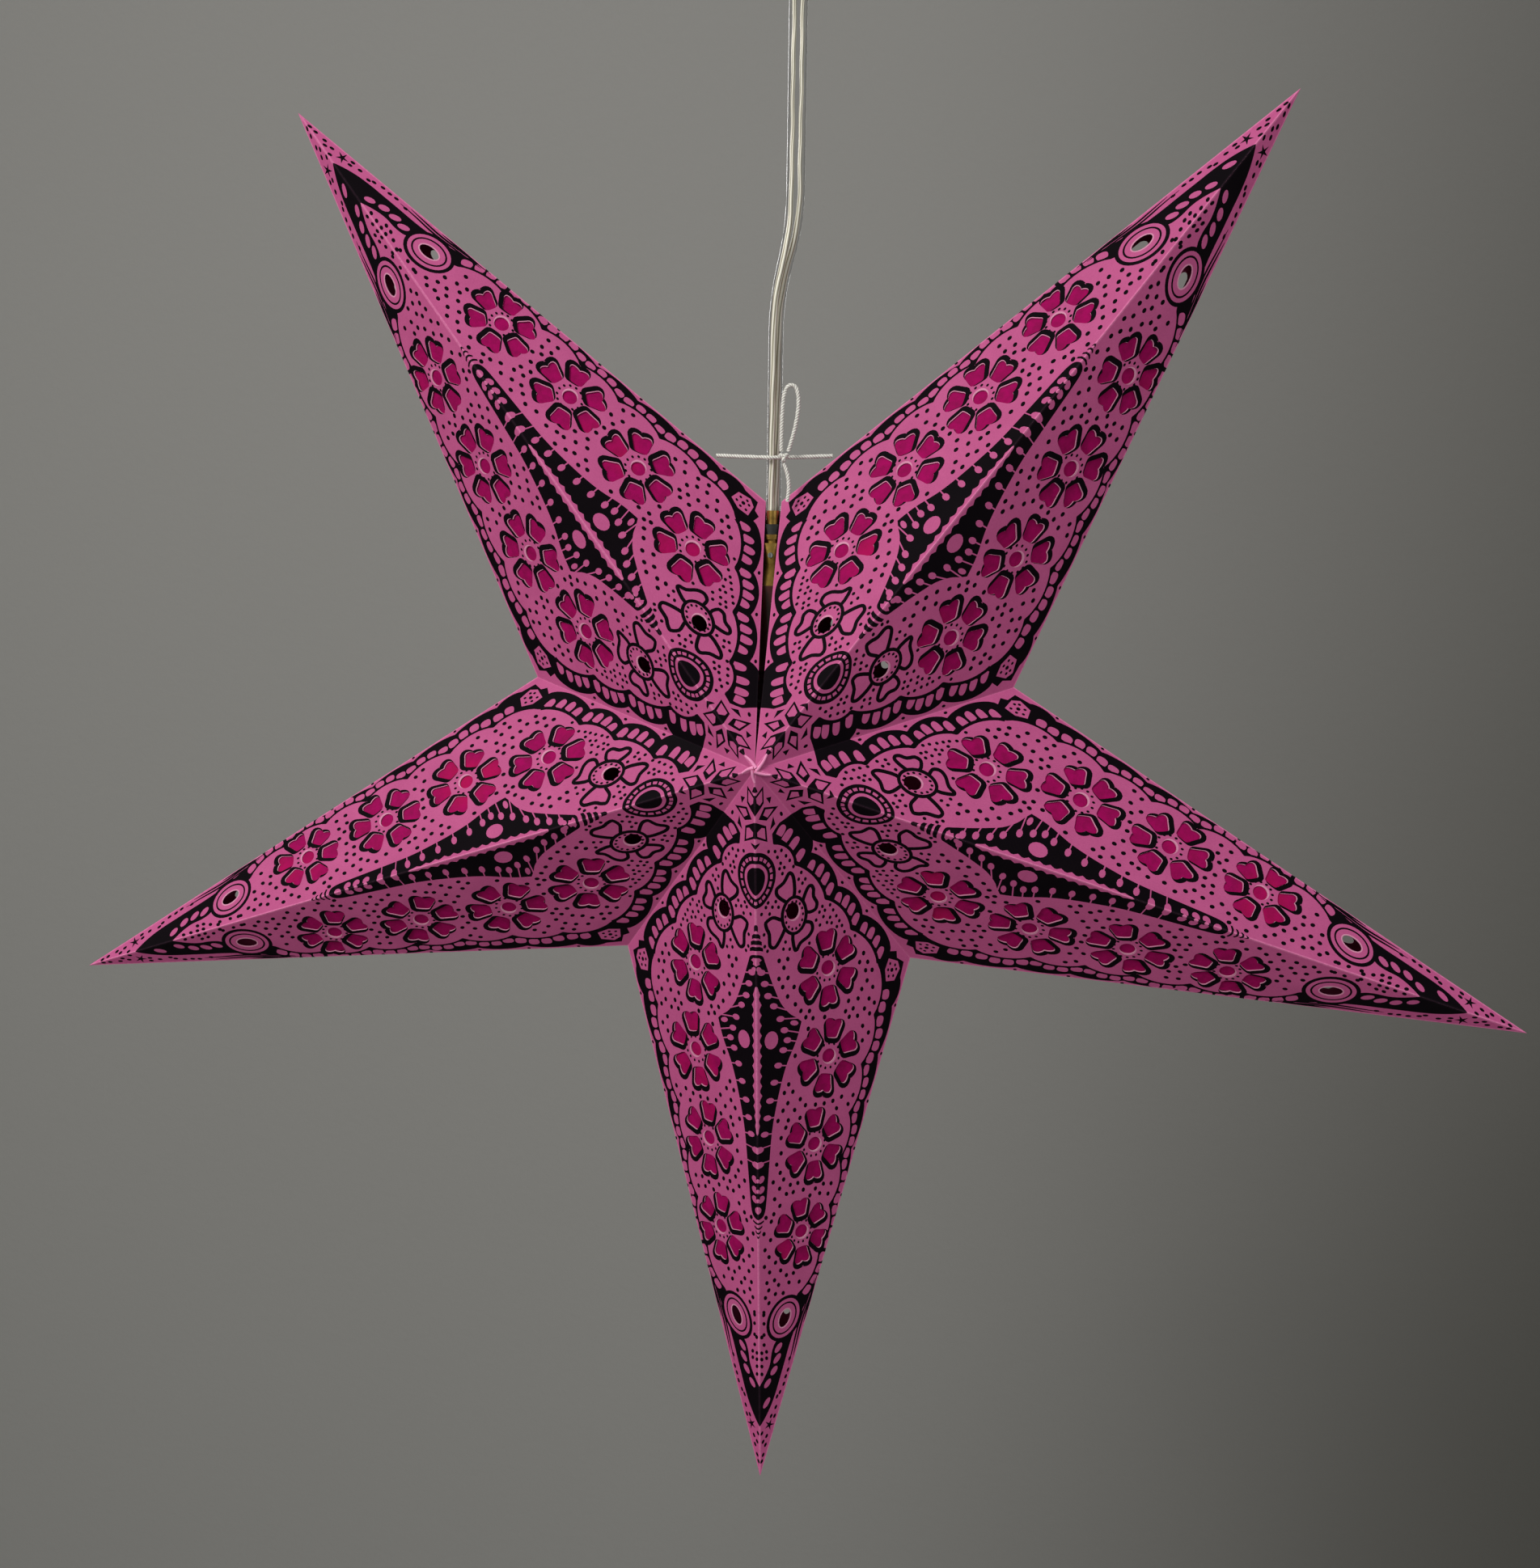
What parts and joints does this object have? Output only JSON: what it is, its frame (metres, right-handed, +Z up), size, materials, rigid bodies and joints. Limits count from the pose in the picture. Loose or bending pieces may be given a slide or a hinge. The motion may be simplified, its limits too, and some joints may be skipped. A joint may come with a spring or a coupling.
{
  "type": "paper star lantern",
  "caption": "Hanging five-pointed folded paper star lantern with cut-out flowers, on a pendant cable with lampholder, bulb and ceiling rose.",
  "frame": {"origin": "middle of the ceiling rose's ceiling face, where the lantern is fixed", "axes": "+Z up into the ceiling, +X to the right along the star's width, and the star's front looks along -Y"},
  "size_m": [0.5912, 0.0976, 0.6741],
  "materials": {
    "printed_paper": "matt handmade paper, pink with near-black print",
    "plain_paper": "matt handmade paper, unprinted",
    "clear_pvc": "clear soft PVC over stranded silvery cores",
    "aged_brass": "turned, dulled",
    "black_plastic": "moulded",
    "steel": "plain",
    "brown_phenolic": "glossy moulded phenolic",
    "porcelain": "unglazed",
    "clear_glass": "clear",
    "plated_cap": "plated shell",
    "black_vitrite": "black glass insulator",
    "solder": "soldered tip",
    "cotton": "twisted cotton string",
    "white_plastic": "moulded"
  },
  "bodies": {
    "ceiling_rose": {"rose_base": "white_plastic", "terminal_block": "white_plastic", "terminal_block_screws": "steel", "cable": "clear_pvc"},
    "rose_cover": {"rose_cover": "white_plastic", "rose_cord_grip": "white_plastic", "rose_grip_screw": "steel"},
    "lampholder": {"cord_sleeve": "aged_brass", "cord_grip_nut": "black_plastic", "lampholder_cap": "aged_brass", "cord_grub_screw": "steel", "lampholder_body": "brown_phenolic", "holder_core": "porcelain", "terminal_screws": "aged_brass", "threaded_shell": "aged_brass", "centre_contact": "aged_brass", "tie_string": "cotton", "tie_knot": "cotton", "tie_bow": "cotton", "tie_tail": "cotton"},
    "bulb_foot": {"bulb_foot_contact": "solder"},
    "bulb": {"bulb_glass": "clear_glass", "bulb_cap": "plated_cap", "bulb_foot_insulator": "black_vitrite", "bulb_stem": "clear_glass", "bulb_lead_wires": "steel", "bulb_filament": "steel"},
    "bottom_edge_a": {"bottom_glue_flap_a": "plain_paper"},
    "bottom_front_a": {"bottom_front_panel_a": "printed_paper"},
    "bottom_back_a": {"bottom_back_panel_a": "printed_paper"},
    "bottom_edge_b": {"bottom_glue_flap_b": "plain_paper"},
    "bottom_front_b": {"bottom_front_panel_b": "printed_paper"},
    "bottom_back_b": {"bottom_back_panel_b": "printed_paper"},
    "right_edge_a": {"right_glue_flap_a": "plain_paper"},
    "right_front_a": {"right_front_panel_a": "printed_paper"},
    "right_back_a": {"right_back_panel_a": "printed_paper"},
    "right_edge_b": {"right_glue_flap_b": "plain_paper"},
    "right_front_b": {"right_front_panel_b": "printed_paper"},
    "right_back_b": {"right_back_panel_b": "printed_paper"},
    "upper_right_edge_a": {"upper_right_glue_flap_a": "plain_paper"},
    "upper_right_front_a": {"upper_right_front_panel_a": "printed_paper"},
    "upper_right_back_a": {"upper_right_back_panel_a": "printed_paper"},
    "upper_right_edge_b": {"upper_right_glue_flap_b": "plain_paper"},
    "upper_right_front_b": {"upper_right_front_panel_b": "printed_paper"},
    "upper_right_back_b": {"upper_right_back_panel_b": "printed_paper"},
    "left_edge_a": {"left_glue_flap_a": "plain_paper"},
    "left_front_a": {"left_front_panel_a": "printed_paper"},
    "left_back_a": {"left_back_panel_a": "printed_paper"},
    "left_edge_b": {"left_glue_flap_b": "plain_paper"},
    "left_front_b": {"left_front_panel_b": "printed_paper"},
    "left_back_b": {"left_back_panel_b": "printed_paper"},
    "upper_left_edge_a": {"upper_left_glue_flap_a": "plain_paper"},
    "upper_left_front_a": {"upper_left_front_panel_a": "printed_paper"},
    "upper_left_back_a": {"upper_left_back_panel_a": "printed_paper"},
    "upper_left_edge_b": {"upper_left_glue_flap_b": "plain_paper"},
    "upper_left_front_b": {"upper_left_front_panel_b": "printed_paper"},
    "upper_left_back_b": {"upper_left_back_panel_b": "printed_paper"}
  },
  "joints": [
    {"name": "rose_cover_slide", "type": "slide", "parent": "ceiling_rose", "child": "rose_cover", "axis": [0, 0, -1], "range_m": [0, 0.085]},
    {"name": "lantern_turn", "type": "hinge", "parent": "ceiling_rose", "child": "lampholder", "pos_m": [-0.0068, 0, -0.266], "axis": [0, 0, 1], "range_deg": [-180, 180], "deforming": ["cable"]},
    {"name": "bulb_travel", "type": "slide", "parent": "lampholder", "child": "bulb_foot", "axis": [0, 0, -1], "range_m": [0, 0.017]},
    {"name": "bulb_unscrew", "type": "hinge", "parent": "bulb_foot", "child": "bulb", "pos_m": [-0.0068, 0, -0.302], "axis": [0, 0, -1], "range_deg": [0, 2160]},
    {"name": "bottom_edge_a_swing", "type": "hinge", "parent": "lampholder", "child": "bottom_edge_a", "pos_m": [-0.04663, 0, -0.67227], "axis": [0, -1, 0], "range_deg": [0, 13.57]},
    {"name": "bottom_front_a_crease", "type": "hinge", "parent": "bottom_edge_a", "child": "bottom_front_a", "pos_m": [0.02248, 0, -0.56034], "axis": [0.2434, 0, 0.9699], "range_deg": [0, 55.63]},
    {"name": "bottom_back_a_crease", "type": "hinge", "parent": "bottom_edge_a", "child": "bottom_back_a", "pos_m": [0.02248, 0, -0.56034], "axis": [-0.2434, 0, -0.9699], "range_deg": [0, 55.63]},
    {"name": "bottom_edge_b_swing", "type": "hinge", "parent": "lampholder", "child": "bottom_edge_b", "pos_m": [0.03303, 0, -0.67227], "axis": [0, 1, 0], "range_deg": [0, 13.57]},
    {"name": "bottom_front_b_crease", "type": "hinge", "parent": "bottom_edge_b", "child": "bottom_front_b", "pos_m": [-0.03608, 0, -0.56034], "axis": [0.2434, 0, -0.9699], "range_deg": [0, 55.63]},
    {"name": "bottom_back_b_crease", "type": "hinge", "parent": "bottom_edge_b", "child": "bottom_back_b", "pos_m": [-0.03608, 0, -0.56034], "axis": [-0.2434, 0, 0.9699], "range_deg": [0, 55.63]},
    {"name": "right_edge_a_swing", "type": "hinge", "parent": "lampholder", "child": "right_edge_a", "pos_m": [-0.04803, 0, -0.29152], "axis": [0, 1, 0], "range_deg": [0, 53.75]},
    {"name": "right_front_a_crease", "type": "hinge", "parent": "right_edge_a", "child": "right_front_a", "pos_m": [0.19044, 0, -0.39792], "axis": [-0.8405, 0, 0.5418], "range_deg": [0, 55.63]},
    {"name": "right_back_a_crease", "type": "hinge", "parent": "right_edge_a", "child": "right_back_a", "pos_m": [0.19044, 0, -0.39792], "axis": [0.8405, 0, -0.5418], "range_deg": [0, 55.63]},
    {"name": "right_edge_b_swing", "type": "hinge", "parent": "lampholder", "child": "right_edge_b", "pos_m": [0.03341, 0, -0.40228], "axis": [0, 1, 0], "range_deg": [0, 80.85]},
    {"name": "right_front_b_crease", "type": "hinge", "parent": "right_edge_b", "child": "right_front_b", "pos_m": [0.17165, 0, -0.45338], "axis": [0.9967, 0, -0.0807], "range_deg": [0, 55.63]},
    {"name": "right_back_b_crease", "type": "hinge", "parent": "right_edge_b", "child": "right_back_b", "pos_m": [0.17165, 0, -0.45338], "axis": [-0.9967, 0, 0.0807], "range_deg": [0, 55.63]},
    {"name": "upper_right_edge_a_swing", "type": "hinge", "parent": "lampholder", "child": "upper_right_edge_a", "pos_m": [-0.0461, 0, -0.3461], "axis": [0, 1, 0], "range_deg": [0, 121.03]},
    {"name": "upper_right_front_a_crease", "type": "hinge", "parent": "upper_right_edge_a", "child": "upper_right_front_a", "pos_m": [0.09052, 0, -0.18672], "axis": [-0.7829, 0, -0.6222], "range_deg": [0, 55.63]},
    {"name": "upper_right_back_a_crease", "type": "hinge", "parent": "upper_right_edge_a", "child": "upper_right_back_a", "pos_m": [0.09052, 0, -0.18672], "axis": [0.7829, 0, 0.6222], "range_deg": [0, 55.63]},
    {"name": "upper_right_edge_b_swing", "type": "hinge", "parent": "lampholder", "child": "upper_right_edge_b", "pos_m": [0.03126, 0, -0.36695], "axis": [0, 1, 0], "range_deg": [0, 148.13]},
    {"name": "upper_right_front_b_crease", "type": "hinge", "parent": "upper_right_edge_b", "child": "upper_right_front_b", "pos_m": [0.13702, 0, -0.22231], "axis": [0.3963, 0, 0.9181], "range_deg": [0, 55.63]},
    {"name": "upper_right_back_b_crease", "type": "hinge", "parent": "upper_right_edge_b", "child": "upper_right_back_b", "pos_m": [0.13702, 0, -0.22231], "axis": [-0.3963, 0, -0.9181], "range_deg": [0, 55.63]},
    {"name": "left_edge_a_swing", "type": "hinge", "parent": "lampholder", "child": "left_edge_a", "pos_m": [-0.04701, 0, -0.40228], "axis": [0, -1, 0], "range_deg": [0, 80.85]},
    {"name": "left_front_a_crease", "type": "hinge", "parent": "left_edge_a", "child": "left_front_a", "pos_m": [-0.18525, 0, -0.45338], "axis": [0.9967, 0, 0.0807], "range_deg": [0, 55.63]},
    {"name": "left_back_a_crease", "type": "hinge", "parent": "left_edge_a", "child": "left_back_a", "pos_m": [-0.18525, 0, -0.45338], "axis": [-0.9967, 0, -0.0807], "range_deg": [0, 55.63]},
    {"name": "left_edge_b_swing", "type": "hinge", "parent": "lampholder", "child": "left_edge_b", "pos_m": [0.03443, 0, -0.29152], "axis": [0, -1, 0], "range_deg": [0, 53.75]},
    {"name": "left_front_b_crease", "type": "hinge", "parent": "left_edge_b", "child": "left_front_b", "pos_m": [-0.20404, 0, -0.39792], "axis": [-0.8405, 0, -0.5418], "range_deg": [0, 55.63]},
    {"name": "left_back_b_crease", "type": "hinge", "parent": "left_edge_b", "child": "left_back_b", "pos_m": [-0.20404, 0, -0.39792], "axis": [0.8405, 0, 0.5418], "range_deg": [0, 55.63]},
    {"name": "upper_left_edge_a_swing", "type": "hinge", "parent": "lampholder", "child": "upper_left_edge_a", "pos_m": [-0.04486, 0, -0.36695], "axis": [0, -1, 0], "range_deg": [0, 148.13]},
    {"name": "upper_left_front_a_crease", "type": "hinge", "parent": "upper_left_edge_a", "child": "upper_left_front_a", "pos_m": [-0.15062, 0, -0.22231], "axis": [0.3963, 0, -0.9181], "range_deg": [0, 55.63]},
    {"name": "upper_left_back_a_crease", "type": "hinge", "parent": "upper_left_edge_a", "child": "upper_left_back_a", "pos_m": [-0.15062, 0, -0.22231], "axis": [-0.3963, 0, 0.9181], "range_deg": [0, 55.63]},
    {"name": "star_fold", "type": "hinge", "parent": "lampholder", "child": "upper_left_edge_b", "pos_m": [0.0325, 0, -0.3461], "axis": [0, -1, 0], "range_deg": [0, 121.01], "deforming": ["bottom_back_panel_a", "bottom_back_panel_b", "bottom_front_panel_a", "bottom_front_panel_b", "bottom_glue_flap_a", "bottom_glue_flap_b", "left_back_panel_a", "left_back_panel_b", "left_front_panel_a", "left_front_panel_b", "left_glue_flap_a", "left_glue_flap_b", "right_back_panel_a", "right_back_panel_b", "right_front_panel_a", "right_front_panel_b", "right_glue_flap_a", "right_glue_flap_b", "upper_left_back_panel_a", "upper_left_back_panel_b", "upper_left_front_panel_a", "upper_left_front_panel_b", "upper_left_glue_flap_a", "upper_left_glue_flap_b", "upper_right_back_panel_a", "upper_right_back_panel_b", "upper_right_front_panel_a", "upper_right_front_panel_b", "upper_right_glue_flap_a", "upper_right_glue_flap_b"]},
    {"name": "upper_left_front_b_crease", "type": "hinge", "parent": "upper_left_edge_b", "child": "upper_left_front_b", "pos_m": [-0.10412, 0, -0.18672], "axis": [-0.7829, 0, 0.6222], "range_deg": [0, 55.63]},
    {"name": "upper_left_back_b_crease", "type": "hinge", "parent": "upper_left_edge_b", "child": "upper_left_back_b", "pos_m": [-0.10412, 0, -0.18672], "axis": [0.7829, 0, -0.6222], "range_deg": [0, 55.63]}
  ],
  "couplings": [
    {"joint": "bulb_travel", "follows": "bulb_unscrew", "m_per_rad": 0.00044882},
    {"joint": "bottom_edge_a_swing", "follows": "star_fold", "ratio": 0.11196},
    {"joint": "bottom_front_a_crease", "follows": "star_fold", "ratio": 0.4595},
    {"joint": "bottom_back_a_crease", "follows": "star_fold", "ratio": 0.4595},
    {"joint": "bottom_edge_b_swing", "follows": "star_fold", "ratio": 0.11196},
    {"joint": "bottom_front_b_crease", "follows": "star_fold", "ratio": 0.4595},
    {"joint": "bottom_back_b_crease", "follows": "star_fold", "ratio": 0.4595},
    {"joint": "right_edge_a_swing", "follows": "star_fold", "ratio": 0.44402},
    {"joint": "right_front_a_crease", "follows": "star_fold", "ratio": 0.4595},
    {"joint": "right_back_a_crease", "follows": "star_fold", "ratio": 0.4595},
    {"joint": "right_edge_b_swing", "follows": "star_fold", "ratio": 0.66794},
    {"joint": "right_front_b_crease", "follows": "star_fold", "ratio": 0.4595},
    {"joint": "right_back_b_crease", "follows": "star_fold", "ratio": 0.4595},
    {"joint": "upper_right_edge_a_swing", "follows": "star_fold", "ratio": 1},
    {"joint": "upper_right_front_a_crease", "follows": "star_fold", "ratio": 0.4595},
    {"joint": "upper_right_back_a_crease", "follows": "star_fold", "ratio": 0.4595},
    {"joint": "upper_right_edge_b_swing", "follows": "star_fold", "ratio": 1.2239},
    {"joint": "upper_right_front_b_crease", "follows": "star_fold", "ratio": 0.4595},
    {"joint": "upper_right_back_b_crease", "follows": "star_fold", "ratio": 0.4595},
    {"joint": "left_edge_a_swing", "follows": "star_fold", "ratio": 0.66794},
    {"joint": "left_front_a_crease", "follows": "star_fold", "ratio": 0.4595},
    {"joint": "left_back_a_crease", "follows": "star_fold", "ratio": 0.4595},
    {"joint": "left_edge_b_swing", "follows": "star_fold", "ratio": 0.44402},
    {"joint": "left_front_b_crease", "follows": "star_fold", "ratio": 0.4595},
    {"joint": "left_back_b_crease", "follows": "star_fold", "ratio": 0.4595},
    {"joint": "upper_left_edge_a_swing", "follows": "star_fold", "ratio": 1.2239},
    {"joint": "upper_left_front_a_crease", "follows": "star_fold", "ratio": 0.4595},
    {"joint": "upper_left_back_a_crease", "follows": "star_fold", "ratio": 0.4595},
    {"joint": "upper_left_front_b_crease", "follows": "star_fold", "ratio": 0.4595},
    {"joint": "upper_left_back_b_crease", "follows": "star_fold", "ratio": 0.4595}
  ]
}
